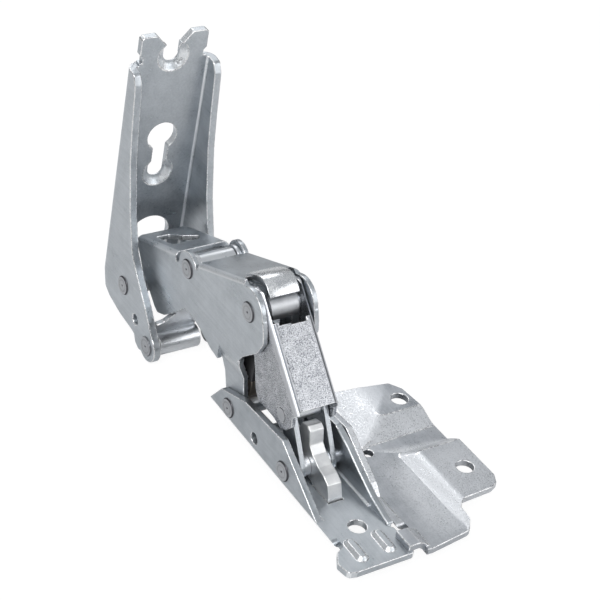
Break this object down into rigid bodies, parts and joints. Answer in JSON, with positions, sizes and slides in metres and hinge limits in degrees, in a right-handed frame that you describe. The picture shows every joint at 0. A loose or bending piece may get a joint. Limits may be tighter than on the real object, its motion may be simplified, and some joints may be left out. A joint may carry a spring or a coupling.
{
  "type": "refrigerator door hinge",
  "caption": "Concealed link hinge for a built-in refrigerator door: slotted wall bracket, crossing sheet-steel levers, door plate with a stepped screw wing.",
  "frame": {"origin": "centre of the front screw hole of the door bracket, on the face that lies on the door", "axes": "+Z away from the door, +Y from the door bracket's tongue towards the cabinet bracket, +X along the pivots towards the screw wing"},
  "size_m": [0.0587, 0.1402, 0.0938],
  "materials": {
    "zinc_sheet": "zinc plated, satin with a faint blue cast",
    "bright_steel": "polished zinc plated",
    "black_plastic": "matt"
  },
  "bodies": {
    "door": {"door_bracket": "zinc_sheet", "wing_plate": "zinc_sheet", "cam_plate": "zinc_sheet", "arm_foot_rivet": "bright_steel", "link_foot_rivet": "bright_steel", "link_foot_spacers": "bright_steel"},
    "arm": {"main_arm": "zinc_sheet", "guide_block": "black_plastic", "guide_end": "zinc_sheet", "arm_foot_tube": "bright_steel", "centre_rivet": "bright_steel", "centre_tube": "bright_steel", "upper_rivet": "bright_steel", "upper_washers": "bright_steel"},
    "door_side_link": {"door_link": "zinc_sheet", "link_head_pin": "bright_steel"},
    "lever": {"front_lever": "zinc_sheet", "lever_studs": "bright_steel", "rear_arm": "zinc_sheet", "rear_arm_rivet": "bright_steel", "spring_housing": "black_plastic", "spring_pair": "bright_steel", "spring_rod": "bright_steel", "pressure_piece": "zinc_sheet"},
    "cabinet_side_link": {"cabinet_link": "bright_steel", "link_eye_pin": "bright_steel"},
    "cabinet": {"cabinet_bracket": "zinc_sheet", "cabinet_rivet": "bright_steel", "cabinet_tubes": "bright_steel", "eye_studs": "bright_steel"}
  },
  "joints": [
    {"name": "main_fold", "type": "hinge", "parent": "door", "child": "arm", "pos_m": [0, 0.0525, 0.0051], "axis": [1, 0, 0], "range_deg": [0, 37]},
    {"name": "door_link_swing", "type": "hinge", "parent": "door", "child": "door_side_link", "pos_m": [0, 0.0231, 0.0055], "axis": [1, 0, 0], "range_deg": [0, 99.3]},
    {"name": "lever_swing", "type": "hinge", "parent": "arm", "child": "lever", "pos_m": [0, 0.0495, 0.0394], "axis": [1, 0, 0], "range_deg": [-40.65, 0]},
    {"name": "cabinet_link_swing", "type": "hinge", "parent": "arm", "child": "cabinet_side_link", "pos_m": [0, 0.0825, 0.0323], "axis": [1, 0, 0], "range_deg": [-25.47, 0]},
    {"name": "cabinet_fold", "type": "hinge", "parent": "lever", "child": "cabinet", "pos_m": [0, 0.1098, 0.0105], "axis": [1, 0, 0], "range_deg": [-87.17, 0]}
  ],
  "couplings": [
    {"joint": "door_link_swing", "follows": "main_fold", "ratio": 2.6837},
    {"joint": "lever_swing", "follows": "main_fold", "ratio": -1.0986},
    {"joint": "cabinet_link_swing", "follows": "main_fold", "ratio": -0.6882},
    {"joint": "cabinet_fold", "follows": "main_fold", "ratio": -2.3556}
  ]
}
